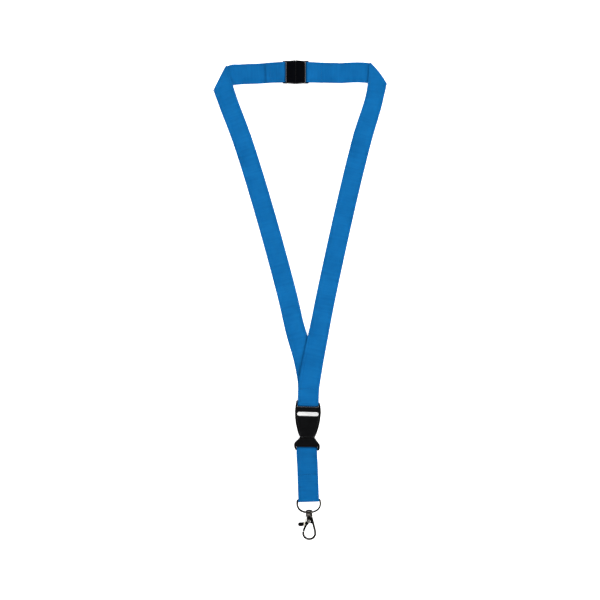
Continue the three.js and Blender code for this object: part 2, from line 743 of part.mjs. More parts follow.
const crossing = 3 * ribbonWidth; // the two sides start to overlap about this far above the seam
const rightSideAt = { corner: rightCorner, nearTop: rightNearTop, bow: rightSideBow };
const leftSide = smoothRoute(
  sideRoute({ corner: leftCorner, nearTop: -leftNearTop, bow: leftSideBow }, [
    [seamX - 13.2, 60, halfRibbon],
    [seamX - 4.6, 31, halfRibbon + 0.4],
    [seamX - 0.4, 10, halfRibbon + 1.8],
    [seamX, 0, seamHeight],
    [seamX - 0.2, -5.7, seamHeight - 0.35],
  ]),
  6,
);
const rightLower = smoothRoute(
  sideRoute(rightSideAt, [
    sidePoint(rightSideAt, crossing + ribbonWidth, halfRibbon + 0.5),
    sidePoint(rightSideAt, crossing, halfRibbon + layer),
    [seamX + 4, 26, halfRibbon + layer + 0.9],
    [seamX + 1.4, 11, halfRibbon + layer + 2],
    [seamX, 0, seamHeight + layer],
    [seamX - 0.2, -6.5, seamHeight + layer + 1],
    [strapBarX, -strapBarDrop + 0.8, buckleMidZ + strapLoopRadius],
  ]),
  6,
);
const strapBar = new THREE.Vector3(strapBarX, -strapBarDrop, buckleMidZ);
const buckleDown = new THREE.Vector3(Math.sin(buckleTurn), -Math.cos(buckleTurn), 0);
const strapTurn = roundBar(strapBar, buckleDown, strapLoopRadius, true);
const strapReturn = smoothRoute(
  [
    [strapBarX, -strapBarDrop + 1, buckleMidZ - strapLoopRadius],
    [seamX - 0.2, -6.1, seamHeight - 0.4],
  ],
  3,
);

const socketBar = new THREE.Vector3(clipShift - clipBarX, clipY, clipMidZ);
const plugBar = new THREE.Vector3(clipShift + clipBarX, clipY, clipMidZ);
const leftward = new THREE.Vector3(-1, 0, 0);
const rightward = new THREE.Vector3(1, 0, 0);
const leftTopRun = smoothRoute(
  [
    [leftCorner.x, leftCorner.y, halfRibbon],
    [leftCorner.x + 18, leftCorner.y + topBow - 1, halfRibbon],
    [socketBar.x - 24, clipY - 1, halfRibbon],
    [socketBar.x - 12, clipY - 0.2, halfRibbon + 0.3],
    [socketBar.x - 0.8, clipY, clipMidZ - clipLoopRadius],
  ],
  5,
);
const socketTailRun = smoothRoute(
  [
    [socketBar.x - 0.8, clipY, clipMidZ + clipLoopRadius],
    [socketBar.x - 5, clipY, clipMidZ + clipLoopRadius - 1.3],
    [socketBar.x - 12, clipY - 0.1, halfRibbon + 0.3 + layer],
    [socketBar.x - socketTail, clipY - 0.4, halfRibbon + layer + 0.05],
  ],
  3,
);
const topRunStart = plugBar.x + plugTail + plugTravel + runGap;
const rightTopRun = smoothRoute(
  [
    [topRunStart, clipY - 0.6, halfRibbon],
    [rightCorner.x - 19, rightCorner.y + 1.2, halfRibbon],
    [rightCorner.x, rightCorner.y, halfRibbon],
  ],
  5,
);
const plugMainRun = smoothRoute(
  [
    [topRunStart + plugLap - plugTravel, clipY - 0.6, halfRibbon + layer],
    [topRunStart - 2, clipY - 0.5, halfRibbon + layer],
    [plugBar.x + 11, clipY - 0.1, halfRibbon + layer + 0.3],
    [plugBar.x + 4.5, clipY, clipMidZ + clipLoopRadius - 1.1],
    [plugBar.x + 0.8, clipY, clipMidZ + clipLoopRadius],
  ],
  3,
);
const plugTailRun = smoothRoute(
  [
    [plugBar.x + 0.8, clipY, clipMidZ - clipLoopRadius],
    [plugBar.x + 6, clipY, halfRibbon + 0.5],
    [plugBar.x + 11, clipY - 0.1, halfRibbon],
    [plugBar.x + plugTail, clipY - 0.3, halfRibbon],
  ],
  3,
);

function endHeading(stations) {
  return headingAt(stations, stations.length - 1);
}

const leftFold = foldLine(headingAt(leftTopRun, 0).negate(), headingAt(leftSide, 0));
const rightFold = foldLine(endHeading(rightTopRun), headingAt(rightLower, 0));
lanyard.add(
  named(
    "neck_ribbon_left_top",
    ribbon(
      [...leftTopRun, ...roundBar(socketBar, rightward, clipLoopRadius, false), ...socketTailRun],
      { startFold: leftFold },
    ),
    ribbonBlue,
  ),
  named("neck_ribbon_left_side", ribbon(leftSide, { startFold: leftFold }), ribbonBlue),
  named(
    "neck_ribbon_right_end",
    ribbon([
      ...plugMainRun,
      ...roundBar(plugBar, leftward, clipLoopRadius, true),
      ...plugTailRun,
    ]),
    ribbonBlue,
  ),
  named("neck_ribbon_right_top", ribbon(rightTopRun, { endFold: rightFold }), ribbonBlue),
  named(
    "neck_ribbon_right_side",
    ribbon([...rightLower, ...strapTurn, ...strapReturn], { startFold: rightFold }),
    ribbonBlue,
  ),
);

// Breakaway clip
const clip = new THREE.Group();
clip.position.set(clipShift, clipY, clipMidZ);
clip.add(
  named("breakaway_socket", fromSolid(breakawaySocket()), blackPlastic),
  named("breakaway_plug", fromSolid(breakawayPlug()), blackPlastic),
);
lanyard.add(clip);

// Buckle
const buckle = new THREE.Group();
buckle.position.copy(strapBar);
buckle.rotation.z = buckleTurn;
buckle.add(
  named("buckle_housing", fromSolid(buckleHousing()), blackPlastic),
  named("buckle_insert", fromSolid(buckleInsert()), blackPlastic),
  named("buckle_arm_left", buckleArm(-1), blackPlastic),
  named("buckle_arm_right", buckleArm(1), blackPlastic),
);
lanyard.add(buckle);

// Lower ribbon loop, in a frame that starts at the insert's bar. Its sewn end is tucked inside.
const lower = new THREE.Group();
buckle.updateMatrixWorld(true);
const insertBar = buckle.localToWorld(new THREE.Vector3(0, insertBarY, 0));
lower.position.set(insertBar.x, insertBar.y, 0);
lower.rotation.z = lowerTurn;
const upperLoop = insertBarRadius + gap + halfRibbon;
const ringLoop = ringWireRadius + gap + halfRibbon;
const backHeight = halfRibbon;
const frontHeight = halfRibbon + 2 * layer;
const tuckedY = -lowerLength * 0.5;
// The ribbon leaves the insert's bar square to it and then turns down its own line.
const barLean = buckleTurn - lowerTurn;
const offBar = (distance, height) => [
  Math.sin(barLean) * distance,
  -Math.cos(barLean) * distance,
  height,
];
const awayFromBar = new THREE.Vector3(-Math.sin(barLean), Math.cos(barLean), 0);
const lowerStations = [
  ...smoothRoute(
    [
      [0, tuckedY - lowerTail / 2, backHeight + layer],
      [0, tuckedY + lowerTail / 2, backHeight + layer],
      [-0.2, -8, buckleMidZ - upperLoop - 0.9],
      offBar(3.6, buckleMidZ - upperLoop - 0.2),
      offBar(0.8, buckleMidZ - upperLoop),
    ],
    2.5,
  ),
  ...roundBar(new THREE.Vector3(0, 0, buckleMidZ), awayFromBar, upperLoop, false),
  ...smoothRoute(
    [
      offBar(0.8, buckleMidZ + upperLoop),
      offBar(3.6, buckleMidZ + upperLoop - 0.3),
      [-0.2, -8, buckleMidZ + upperLoop - 1.6],
      [0, tuckedY + lowerTail / 2 + 2, frontHeight + 0.2],
      [0, tuckedY - lowerTail / 2 - 2, frontHeight],
      [0, -lowerLength + 6, hookMidZ + ringLoop - 0.4],
      [0, -lowerLength + 0.8, hookMidZ + ringLoop],
    ],
    3,
  ),
  ...roundBar(
    new THREE.Vector3(0, -lowerLength, hookMidZ),
    new THREE.Vector3(0, -1, 0),
    ringLoop,
    true,
  ),
  ...smoothRoute(
    [
      [0, -lowerLength + 0.8, hookMidZ - ringLoop],
      [0, -lowerLength + 8, backHeight],
      [0, tuckedY, backHeight],
      [0, tuckedY + lowerTail / 2 - 1, backHeight],
    ],
    3,
  ),
];
lower.add(named("lower_ribbon", ribbon(lowerStations), ribbonBlue));

const ring = new THREE.Group();
ring.position.set(0, -lowerLength, hookMidZ);
ring.add(named("d_ring", dRing(), darkNickel));
lower.add(ring);

// Snap hook, hanging straight down from the lowest point of the ring's arc
const hook = new THREE.Group();
hook.position.set(0, -ringDepth, 0);
hook.rotation.z = -lowerTurn;
hook.add(
  named("swivel_eye", fromSolid(swivelEye()), darkNickel),
  named("hook_body", fromSolid(hookBody()), darkNickel),
  named("gate_lever", fromSolid(gateLever()), darkNickel),
  named("gate_rivet", fromSolid(gateRivet()).translate(0, pivotY, 0), darkNickel),
  named("gate_spring", gateSpring(), springSteel),
);
ring.add(hook);
lanyard.add(lower);

// Sewing: a zigzag of thread across the ribbon at each seam
function seam(name, x, y, z, turn) {
  const thread = named(name, zigzag(ribbonWidth - 2 * seamMargin), threadBlue);
  thread.position.set(x, y, z + halfRibbon + gap);
  thread.rotation.z = turn;
  return thread;
}

const tailTop = halfRibbon + layer + 0.3;
lanyard.add(
  seam("junction_stitching", seamX, 1.2, seamHeight + layer, 0),
  seam("socket_tail_stitching", socketBar.x - socketTail + 4.5, clipY - 0.1, tailTop, Math.PI / 2),
  seam("plug_tail_stitching", plugBar.x + plugTail - 2.5, clipY - 0.2, tailTop, Math.PI / 2),
);
lower.add(seam("lower_ribbon_stitching", 0, tuckedY, frontHeight, 0));

// The origin goes below the middle of the whole outline.
lanyard.updateMatrixWorld(true);
const outline = new THREE.Box3().setFromObject(lanyard, true);
const middle = outline.getCenter(new THREE.Vector3());
lanyard.position.set(-middle.x, -middle.y, -outline.min.z);

export default lanyard;
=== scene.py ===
"""A lanyard lying on a pale floor, seen from straight above: ribbons, buckle, clip, D-ring and hook.
"""

import math

import bmesh
import bpy
import numpy as np
from mathutils import Matrix, Vector


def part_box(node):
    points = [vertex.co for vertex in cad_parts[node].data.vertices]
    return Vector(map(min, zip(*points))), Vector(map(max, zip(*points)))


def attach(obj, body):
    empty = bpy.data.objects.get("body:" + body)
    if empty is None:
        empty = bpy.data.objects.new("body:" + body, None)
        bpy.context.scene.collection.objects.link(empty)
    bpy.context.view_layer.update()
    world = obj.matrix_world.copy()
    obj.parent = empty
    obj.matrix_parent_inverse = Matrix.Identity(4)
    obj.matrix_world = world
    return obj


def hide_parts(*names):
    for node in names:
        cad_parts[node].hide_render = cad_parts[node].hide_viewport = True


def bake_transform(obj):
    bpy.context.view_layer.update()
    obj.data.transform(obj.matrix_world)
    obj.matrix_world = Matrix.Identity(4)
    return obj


MM = 0.001
UP = Vector((0, 0, 1))

# ---- Sizes that the ribbons and their routes share with the CAD model ----

RIBBON_WIDTH = 20.0
RIBBON_THICKNESS = 0.9
GAP = 0.3
HALF = RIBBON_THICKNESS / 2
LAYER = RIBBON_THICKNESS + GAP
BAR_RUN = 0.8  # from a bar's middle to where the ribbon leaves its half turn
SEAM_X = 9.35
SEAM_HEIGHT = 3.3
SEAM_STITCHES_Y = 1.2
CORNER_X = 79.7
LEFT_CORNER_Y = 311.5
RIGHT_CORNER_Y = 316.4
NEAR_TOP = 290.0
LEFT_NEAR_TOP = -72.0
RIGHT_NEAR_TOP = 74.3
LEFT_BOW = 5.95
RIGHT_BOW = 4.05
UPPER_BOW_POWER = 3.2
LOWER_BOW_POWER = 2.0
CLIP_SPLIT_X = -3.5
CLIP_Y = 317.2
CLIP_MID_Z = 3.5
CLIP_BAR_X = 12.0  # from the clip's split
CLIP_LOOP_RADIUS = 1.98
LEFT_TAIL = 17.5  # from the clip's bar to the end of the sewn-back ribbon
RIGHT_TAIL = 16.0
BUCKLE_MID_Z = 4.5
BUCKLE_TURN = math.radians(-1.6)
STRAP_BAR = Vector((8.95, -14.1, BUCKLE_MID_Z))
STRAP_LOOP_RADIUS = 2.3
LOWER_TURN = math.radians(2.0)
LOWER_LENGTH = 50.8
LOWER_TUCK_Y = -25.4
LOWER_TAIL = 7.0  # half the overlap of the loop's ends
UPPER_LOOP_RADIUS = 2.05
RING_LOOP_RADIUS = 1.7
RING_MID_Z = 3.4
RING_WIRE = 0.95
RING_HALF = 11.55  # from the ring's middle to the middle of its side wire
RING_DEPTH = 12.5
RING_FULLNESS = 0.88

# ---- Sizes and looks that only this model has ----

BAR_SPACING = 1.2  # between stations near the bars
RUN_SPACING = 1.6  # between stations on the long runs
WIRE_SPACING = 0.4
MESH_THICKNESS = RIBBON_THICKNESS - 0.06
LEFT_BULGE = 0.25  # how far the middle of each folded corner stands out
RIGHT_BULGE = 1.1
LOWER_EXTRA_WIDTH = 0.7
# Painted shade on the lower loop, deepest in its middle
LOWER_PAINTED_SHADE = -0.55
# Pairs of a y in the world and the value there
EXTRA_WIDTHS = (
    *((-106, 1.0), (-98, 1.0), (-86, 1.2), (-72, 1.3), (-50, 0.6)),
    *((-20, -0.3), (170, -0.5), (205, -0.3), (215, 0.3)),
)
# Painted shade along the neck ribbon by y: darker where it enters the buckle and along the top
PAINTED_SHADES = ((-108, -0.9), (-103, -0.5), (-96, 0.0), (214, 0.0), (224, -0.25))
PINCHES = ((165, 0.0), (205, 1.0), (214, 1.0), (222, 0.0))
PINCH_WIDTH = 1.7
PINCH_SHIFT = 0.6


# ---- Lines ----


def smooth_route(points, spacing):
    """Evenly spaced stations on a centripetal Catmull-Rom line through points."""
    pieces = 40
    p = [Vector(q) for q in points]
    p = [2 * p[0] - p[1], *p, 2 * p[-1] - p[-2]]
    fine = []
    for i in range(1, len(p) - 2):
        p0, p1, p2, p3 = p[i - 1 : i + 3]
        pairs = ((p0, p1), (p1, p2), (p2, p3))
        t0, t1, t2 = (max((after - before).length, 1e-6) ** 0.5 for before, after in pairs)
        m1 = ((p1 - p0) / t0 - (p2 - p0) / (t0 + t1) + (p2 - p1) / t1) * t1
        m2 = ((p2 - p1) / t1 - (p3 - p1) / (t1 + t2) + (p3 - p2) / t2) * t1
        for k in range(pieces):
            t = k / pieces
            a = 2 * t**3 - 3 * t**2 + 1
            b = t**3 - 2 * t**2 + t
            c = -2 * t**3 + 3 * t**2
            d = t**3 - t**2
            fine.append(p1 * a + m1 * b + p2 * c + m2 * d)
    fine.append(p[-2])
    return spaced(fine, spacing)


def spaced(line, spacing):
    """The same line with stations evenly spaced along it."""
    at = np.array([tuple(q) for q in line])
    along = np.concatenate([[0], np.cumsum(np.linalg.norm(np.diff(at, axis=0), axis=1))])
    steps = max(4, round(along[-1] / spacing))
    wanted = np.linspace(0, along[-1], steps + 1)
    return [Vector(q) for q in np.stack([np.interp(wanted, along, at[:, k]) for k in range(3)], 1)]


def round_bar(middle, heading, radius, start_above):
    """Half a turn round a bar, past its far side."""
    steps = 14
    sign = 1 if start_above else -1
    turn = []
    for i in range(steps + 1):
        angle = sign * (math.pi / 2 - math.pi * i / steps)
        turn.append(
            middle + heading * (radius * math.cos(angle)) + UP * (radius * math.sin(angle))
        )
    return turn


def join_routes(*routes):
    """Routes end to end, without the doubled station where two of them meet."""
    doubled = 0.35
    whole = list(routes[0])
    for route in routes[1:]:
        skip = 1 if (route[0] - whole[-1]).length < doubled else 0
        whole += route[skip:]
    return whole


def headings(points):
    """The direction of a line at each of its points."""
    step = np.gradient(np.array([tuple(q) for q in points]), axis=0)
    return [Vector(q).normalized() for q in step]


def placed(stations, shift, turn=0.0):
    """Stations moved from a frame of their own into the model's."""
    move = Matrix.Translation(shift) @ Matrix.Rotation(turn, 4, "Z")
    return [move @ q for q in stations]


def read_off(pairs, place):
    """The value at a place, in a straight line between pairs of a place and a value."""
    places, values = zip(*pairs)
    return float(np.interp(place, places, values))


# ---- Rows ----


class Row:
    """One crosswise line of a ribbon: its middle, its directions and its place along the ribbon."""

    def __init__(self, middle, side, normal, along, lean=0.0):
        self.middle = middle
        self.side = side
        self.normal = normal
        self.along = along
        self.lean = lean
        self.bulge = Vector((0, 0, 0))  # how far the middle of a soft bend stands out
        self.width = RIBBON_WIDTH
        self.tone = 0.0  # painted shade, where shade falls on the ribbon; below 0 is darker


def plain_rows(stations, side=None, along=0.0):
    """Rows square to their line, with the crosswise direction kept level."""
    steep = 0.25  # below this the line runs nearly upright, and the last level direction stays
    if side is None:
        side = UP.cross((stations[1] - stations[0]).normalized())
    rows = []
    before = stations[0]
    for station, heading in zip(stations, headings(stations)):
        level = UP.cross(heading)
        if level.length > steep:
            level.normalize()
            side = -level if level.dot(side) < 0 else level
        along += (station - before).length
        before = station
        rows.append(Row(station.copy(), side.copy(), heading.cross(side).normalized(), along))
    return rows


def lean_to(rows, crease, at_end):
    """Leans the rows at one end of a run along the line that the ribbon folds over."""
    reach = 1.3 * RIBBON_WIDTH
    end = rows[-1] if at_end else rows[0]
    heading = end.side.cross(end.normal)
    lean = crease.dot(heading) / crease.dot(end.side)
    for row in rows:
        t = min(1.0, abs(row.along - end.along) / reach)
        amount = lean * (1 - t * t * (3 - 2 * t))
        row.side = row.side + row.side.cross(row.normal) * amount
        row.lean = amount
    return rows


def drawn_in(stations, end, inset):
    """Stations moved back by inset at one end, fading along the run."""
    reach = 1.5 * RIBBON_WIDTH
    return [q - inset * max(0.0, 1 - (q - end).length / reach) for q in stations]


def folded(lower, upper, bulge):
    """Rows of two runs that meet in a flat fold, with the bend between them.

    The lower run comes in and the upper one goes out. bulge is how far the bend's middle stands out.
    """
    steps = 10
    h1 = (lower[-1] - lower[-2]).normalized()
    h2 = (upper[1] - upper[0]).normalized()
    crease = (h1 - h2).cross(UP).normalized()
    out = crease.cross(UP)
    out = out if out.dot(h1) > 0 else -out
    radius = (upper[0].z - lower[-1].z) / 2
    inset = out * (radius + HALF)
    lower = drawn_in(lower, lower[-1], inset)
    upper = drawn_in(upper, upper[0], inset)
    into = lean_to(plain_rows(lower), crease, True)
    last = into[-1]
    facing = -1 if last.normal.z > 0 else 1
    middle = (lower[-1] + upper[0]) / 2
    step = radius * math.pi / steps
    along = last.along
    bend = []
    for i in range(1, steps):
        angle = -math.pi / 2 + math.pi * i / steps
        radial = out * math.cos(angle) + UP * math.sin(angle)
        along += step
        row = Row(middle + radial * radius, last.side.copy(), radial * facing, along, last.lean)
        row.bulge = out * (bulge * math.cos(angle))
        bend.append(row)
    side = UP.cross(h2)
    side = side if side.dot(last.side) > 0 else -side
    out_of = lean_to(plain_rows(upper, side, along + step), crease, False)
    return into + bend + out_of


# ---- The lanyard's ribbons ----


def side_point(near_top, bow, rise, height):
    """A point on the middle line of a long side, at a rise above the seam."""
    t = rise / NEAR_TOP
    power = UPPER_BOW_POWER if t > 0.5 else LOWER_BOW_POWER
    inwards = bow * (1 - abs(2 * t - 1) ** power)
    return (SEAM_X + (near_top - SEAM_X) * t - math.copysign(inwards, near_top), rise, height)


def side_route(corner, near_top, bow, lower_points):
    """A long side, from its corner down to its lower points."""
    points = [(*corner, HALF + LAYER), side_point(near_top, bow, NEAR_TOP, HALF + LAYER)]
    points += [side_point(near_top, bow, NEAR_TOP * share, HALF) for share in (0.86, 0.62, 0.33)]
    return smooth_route(points + lower_points, RUN_SPACING)


def with_looks(rows):
    """Gives the neck ribbon's rows their width and painted shade.

    The long sides roll slightly on their edges, so they show narrower than the top and the seam.
    The painted shade darkens the ribbon where it enters the buckle and along the top, where shade falls.
    """
    for row in rows:
        row.width = RIBBON_WIDTH + read_off(EXTRA_WIDTHS, row.middle.y)
        row.tone = read_off(PAINTED_SHADES, row.middle.y)
    return rows


def neck_left_rows(shift):
    """From the sewn end round the clip's socket, over the left fold and down to the seam."""
    bar = Vector((CLIP_SPLIT_X - CLIP_BAR_X, CLIP_Y, CLIP_MID_Z))
    tail = [
        (bar.x - LEFT_TAIL, CLIP_Y - 0.4, HALF + LAYER + 0.05),
        (bar.x - 12, CLIP_Y - 0.1, HALF + 0.3 + LAYER),
        (bar.x - 5, CLIP_Y, CLIP_MID_Z + CLIP_LOOP_RADIUS - 1.3),
        (bar.x - BAR_RUN, CLIP_Y, CLIP_MID_Z + CLIP_LOOP_RADIUS),
    ]
    run = [
        (bar.x - BAR_RUN, CLIP_Y, CLIP_MID_Z - CLIP_LOOP_RADIUS),
        (bar.x - 12, CLIP_Y - 0.2, HALF + 0.3),
        (bar.x - 24, CLIP_Y - 1, HALF),
        (-CORNER_X + 13, LEFT_CORNER_Y + 3.4, HALF),
        (-CORNER_X + 5, LEFT_CORNER_Y + 1.45, HALF),
        (-CORNER_X, LEFT_CORNER_Y, HALF),
    ]
    top = join_routes(
        smooth_route(tail, BAR_SPACING),
        round_bar(bar, Vector((1, 0, 0)), CLIP_LOOP_RADIUS, True),
        smooth_route(run, RUN_SPACING),
    )
    lower_points = [
        (SEAM_X - 13.2, 60, HALF),
        (SEAM_X - 4.6, 31, HALF + 0.4),
        (SEAM_X - 0.4, 10, HALF + 1.8),
        (SEAM_X, 0, SEAM_HEIGHT),
        (SEAM_X - 0.2, -5.7, SEAM_HEIGHT - 0.35),
    ]
    side = side_route((-CORNER_X, LEFT_CORNER_Y), LEFT_NEAR_TOP, LEFT_BOW, lower_points)
    return with_looks(folded(placed(top, shift), placed(side, shift), LEFT_BULGE))


def neck_right_rows(shift):
    """From the sewn end round the plug's bar, over the right fold and the seam, round the buckle's bar."""
    bar = Vector((CLIP_SPLIT_X + CLIP_BAR_X, CLIP_Y, CLIP_MID_Z))
    tail = [
        (bar.x + RIGHT_TAIL, CLIP_Y - 0.3, HALF),
        (bar.x + 11, CLIP_Y - 0.1, HALF),
        (bar.x + 6, CLIP_Y, HALF + 0.5),
        (bar.x + BAR_RUN, CLIP_Y, CLIP_MID_Z - CLIP_LOOP_RADIUS),
    ]
    run = [
        (bar.x + BAR_RUN, CLIP_Y, CLIP_MID_Z + CLIP_LOOP_RADIUS),
        (bar.x + 4.5, CLIP_Y, CLIP_MID_Z + CLIP_LOOP_RADIUS - 1.1),
        (bar.x + 11, CLIP_Y - 0.1, HALF + LAYER + 0.3),
        (bar.x + 18, CLIP_Y - 0.3, HALF + LAYER),
        (bar.x + 30, CLIP_Y - 0.5, HALF + 0.5),
        (CORNER_X - 38, CLIP_Y - 0.5, HALF),
        (CORNER_X - 19, RIGHT_CORNER_Y + 1.2, HALF),
        (CORNER_X, RIGHT_CORNER_Y, HALF),
    ]
    top = join_routes(
        smooth_route(tail, BAR_SPACING),
        round_bar(bar, Vector((-1, 0, 0)), CLIP_LOOP_RADIUS, False),
        smooth_route(run, RUN_SPACING),
    )
    crossing = 3 * RIBBON_WIDTH
    lower_points = [
        side_point(RIGHT_NEAR_TOP, RIGHT_BOW, crossing + RIBBON_WIDTH, HALF + 0.5),
        side_point(RIGHT_NEAR_TOP, RIGHT_BOW, crossing, HALF + LAYER),
        (SEAM_X + 4, 26, HALF + LAYER + 0.9),
        (SEAM_X + 1.4, 11, HALF + LAYER + 2),
        (SEAM_X, 0, SEAM_HEIGHT + LAYER),
        (SEAM_X - 0.2, -6.5, SEAM_HEIGHT + LAYER + 1),
        (STRAP_BAR.x, STRAP_BAR.y + BAR_RUN, BUCKLE_MID_Z + STRAP_LOOP_RADIUS),
    ]
    down = Vector((math.sin(BUCKLE_TURN), -math.cos(BUCKLE_TURN), 0))
    back = [
        (STRAP_BAR.x, STRAP_BAR.y + 1, BUCKLE_MID_Z - STRAP_LOOP_RADIUS),
        (SEAM_X - 0.2, -6.1, SEAM_HEIGHT - 0.4),
    ]
    side = join_routes(
        side_route((CORNER_X, RIGHT_CORNER_Y), RIGHT_NEAR_TOP, RIGHT_BOW, lower_points),
        round_bar(STRAP_BAR, down, STRAP_LOOP_RADIUS, True),
        smooth_route(back, BAR_SPACING),
    )
    rows = with_looks(folded(placed(top, shift), placed(side, shift), RIGHT_BULGE))
    for row in rows:
        pinch = read_off(PINCHES, row.middle.y)
        row.width -= PINCH_WIDTH * pinch
        row.middle.x += PINCH_SHIFT * pinch
    return rows


def lower_rows(shift):
    """The short loop between the buckle and the D-ring, with its sewn end tucked between the layers."""
    lean = BUCKLE_TURN - LOWER_TURN
    above = BUCKLE_MID_Z + UPPER_LOOP_RADIUS
    below = BUCKLE_MID_Z - UPPER_LOOP_RADIUS

    def off_bar(distance, height):
        return (math.sin(lean) * distance, -math.cos(lean) * distance, height)

    start = [
        (0, LOWER_TUCK_Y - LOWER_TAIL, HALF + LAYER),
        (0, LOWER_TUCK_Y + LOWER_TAIL, HALF + LAYER),
        (-0.2, -8, below - 0.9),
        off_bar(3.6, below - 0.2),
        off_bar(BAR_RUN, below),
    ]
    front = [
        off_bar(BAR_RUN, above),
        off_bar(3.6, above - 0.3),
        (-0.2, -8, above - 1.6),
        (0, LOWER_TUCK_Y + LOWER_TAIL + 2, HALF + 2 * LAYER + 0.2),
        (0, LOWER_TUCK_Y - LOWER_TAIL - 2, HALF + 2 * LAYER),
        (0, -LOWER_LENGTH + 6, RING_MID_Z + RING_LOOP_RADIUS - 0.4),
        (0, -LOWER_LENGTH + BAR_RUN, RING_MID_Z + RING_LOOP_RADIUS),
    ]
    back = [
        (0, -LOWER_LENGTH + BAR_RUN, RING_MID_Z - RING_LOOP_RADIUS),
        (0, -LOWER_LENGTH + 8, HALF),
        (0, LOWER_TUCK_Y, HALF),
        (0, LOWER_TUCK_Y + LOWER_TAIL - 1, HALF),
    ]
    bar = Vector((0, 0, BUCKLE_MID_Z))
    away = Vector((-math.sin(lean), math.cos(lean), 0))
    ring = Vector((0, -LOWER_LENGTH, RING_MID_Z))
    stations = join_routes(
        smooth_route(start, BAR_SPACING),
        round_bar(bar, away, UPPER_LOOP_RADIUS, False),
        smooth_route(front, BAR_SPACING),
        round_bar(ring, Vector((0, -1, 0)), RING_LOOP_RADIUS, True),
        smooth_route(back, BAR_SPACING),
    )
    rows = plain_rows(placed(stations, shift, LOWER_TURN))
    length = rows[-1].along
    for row in rows:
        row.width = RIBBON_WIDTH + LOWER_EXTRA_WIDTH
        # Painted shade, deepest in the middle of the loop
        row.tone = LOWER_PAINTED_SHADE * math.sin(math.pi * row.along / length) ** 2
    return rows


def lower_place():
    """Where the lower loop's own frame stands: the middle of the insert's bar, on the floor."""
    low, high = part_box("lower_ribbon_stitching")
    centre = (low + high) / 2 / MM
    along = Vector((-math.sin(LOWER_TURN), math.cos(LOWER_TURN), 0)) * LOWER_TUCK_Y
    return Vector((centre.x, centre.y, 0)) - along


# ---- Meshes ----


def add_to_scene(name, data):
    obj = bpy.data.objects.new(name, data)
    bpy.context.scene.collection.objects.link(obj)
    return obj


def mesh_object(name, verts, faces, material, smooth_angle=40, **measures):
    """An object with outward faces and smooth shading.

    Each measure is a number or a vector for every vertex, which the material reads by its name.
    """
    mesh = bpy.data.meshes.new(name)
    mesh.from_pydata(verts, [], faces)
    for key, values in measures.items():
        values = np.array(values, np.float32)
        kind, field = ("FLOAT_VECTOR", "vector") if values.ndim == 2 else ("FLOAT", "value")
        mesh.attributes.new(key, kind, "POINT").data.foreach_set(field, values.ravel())
    bm = bmesh.new()
    bm.from_mesh(mesh)
    bmesh.ops.recalc_face_normals(bm, faces=bm.faces)
    bm.to_mesh(mesh)
    bm.free()
    mesh.materials.append(material)
    mesh.shade_smooth()
    mesh.set_sharp_from_angle(angle=math.radians(smooth_angle))
    return add_to_scene(name, mesh)


def tube_faces(first, rings, sides):
    """The faces of a closed tube, whose rings of vertices follow one another from the first on."""
    last = first + (rings - 1) * sides
    faces = []
    for q in range(first, last, sides):
        for s in range(sides):
            t = (s + 1) % sides
            faces.append((q + s, q + t, q + sides + t, q + sides + s))
    faces.append(tuple(first + s for s in reversed(range(sides))))
    faces.append(tuple(last + s for s in range(sides)))
    return faces


def ribbon_profile():
    """The closed outline of a ribbon's section as (across, height), with a groove by each edge."""
    rounding = 0.34
    groove_in, groove_width, groove_depth = 2.35, 0.22, 0.05
    half = RIBBON_WIDTH / 2
    from_edge = (0, 0.05, 0.16, 0.34, 0.7, 1.5, 2.1, 2.35, 2.6, 3.4)
    across = [x - half for x in from_edge] + [-5.0, -3.2, -1.6, 0.0]
    across += [-x for x in reversed(across[:-1])]
    top = []
    for x in across:
        inside = half - abs(x)
        rim = math.sqrt(1 - (1 - min(1, inside / rounding)) ** 2)
        groove = groove_depth * math.exp(-(((inside - groove_in) / groove_width) ** 2))
        top.append((x, rim * (MESH_THICKNESS / 2 - groove)))
    bottom = [(x, -h) for x, h in reversed(top[1:-1])]
    return top + bottom


def gentle(along, seed):
    """A slow, small wave along a ribbon, between about -1 and 1."""
    waves = ((1.0, 41, 1.0), (0.6, 17.3, 2.1), (0.4, 7.9, 3.7))  # size, length and start of each
    return sum(size * math.sin(along / run + start * seed) for size, run, start in waves) / 2


def ribbon_object(name, rows, seed, material):
    """A closed ribbon mesh through rows, with its weave's coordinates and its painted shade."""
    edge_wave, tilt_wave, off_floor = 0.06, 0.05, 0.02
    profile = ribbon_profile()
    n = len(profile)
    verts, weave, painted_shades = [], [], []
    for row in rows:
        level = max(0.0, abs(row.normal.z) - 0.9) * 10  # 1 where it lies flat, 0 where it slopes
        for across, height in profile:
            share = 2 * across / RIBBON_WIDTH
            point = row.middle + row.side * (across * row.width / RIBBON_WIDTH) + row.normal * height
            point += row.bulge * (1 - share * share)
            wave = edge_wave * gentle(row.along, seed) * share * share
            wave += tilt_wave * gentle(row.along, seed + 5) * share
            upward = height if row.normal.z > 0 else -height
            point.z = max(point.z + wave * level, HALF + upward * level, off_floor)
            verts.append(tuple(point * MM))
            weave.append((across, row.along + row.lean * across, float(seed)))
            painted_shades.append(row.tone)
    faces = []
    last = (len(rows) - 1) * n
    for base in range(0, last, n):
        for k in range(n):
            a, b = base + k, base + (k + 1) % n
            faces.append((a, b, b + n, a + n))
    for k in range(n // 2):
        cap = list(dict.fromkeys([k, (n - k) % n, (n - k - 1) % n, k + 1]))
        faces.append(tuple(cap))
        faces.append(tuple(last + c for c in reversed(cap)))
    return mesh_object(name, verts, faces, material, weave_mm=weave, tone=painted_shades)


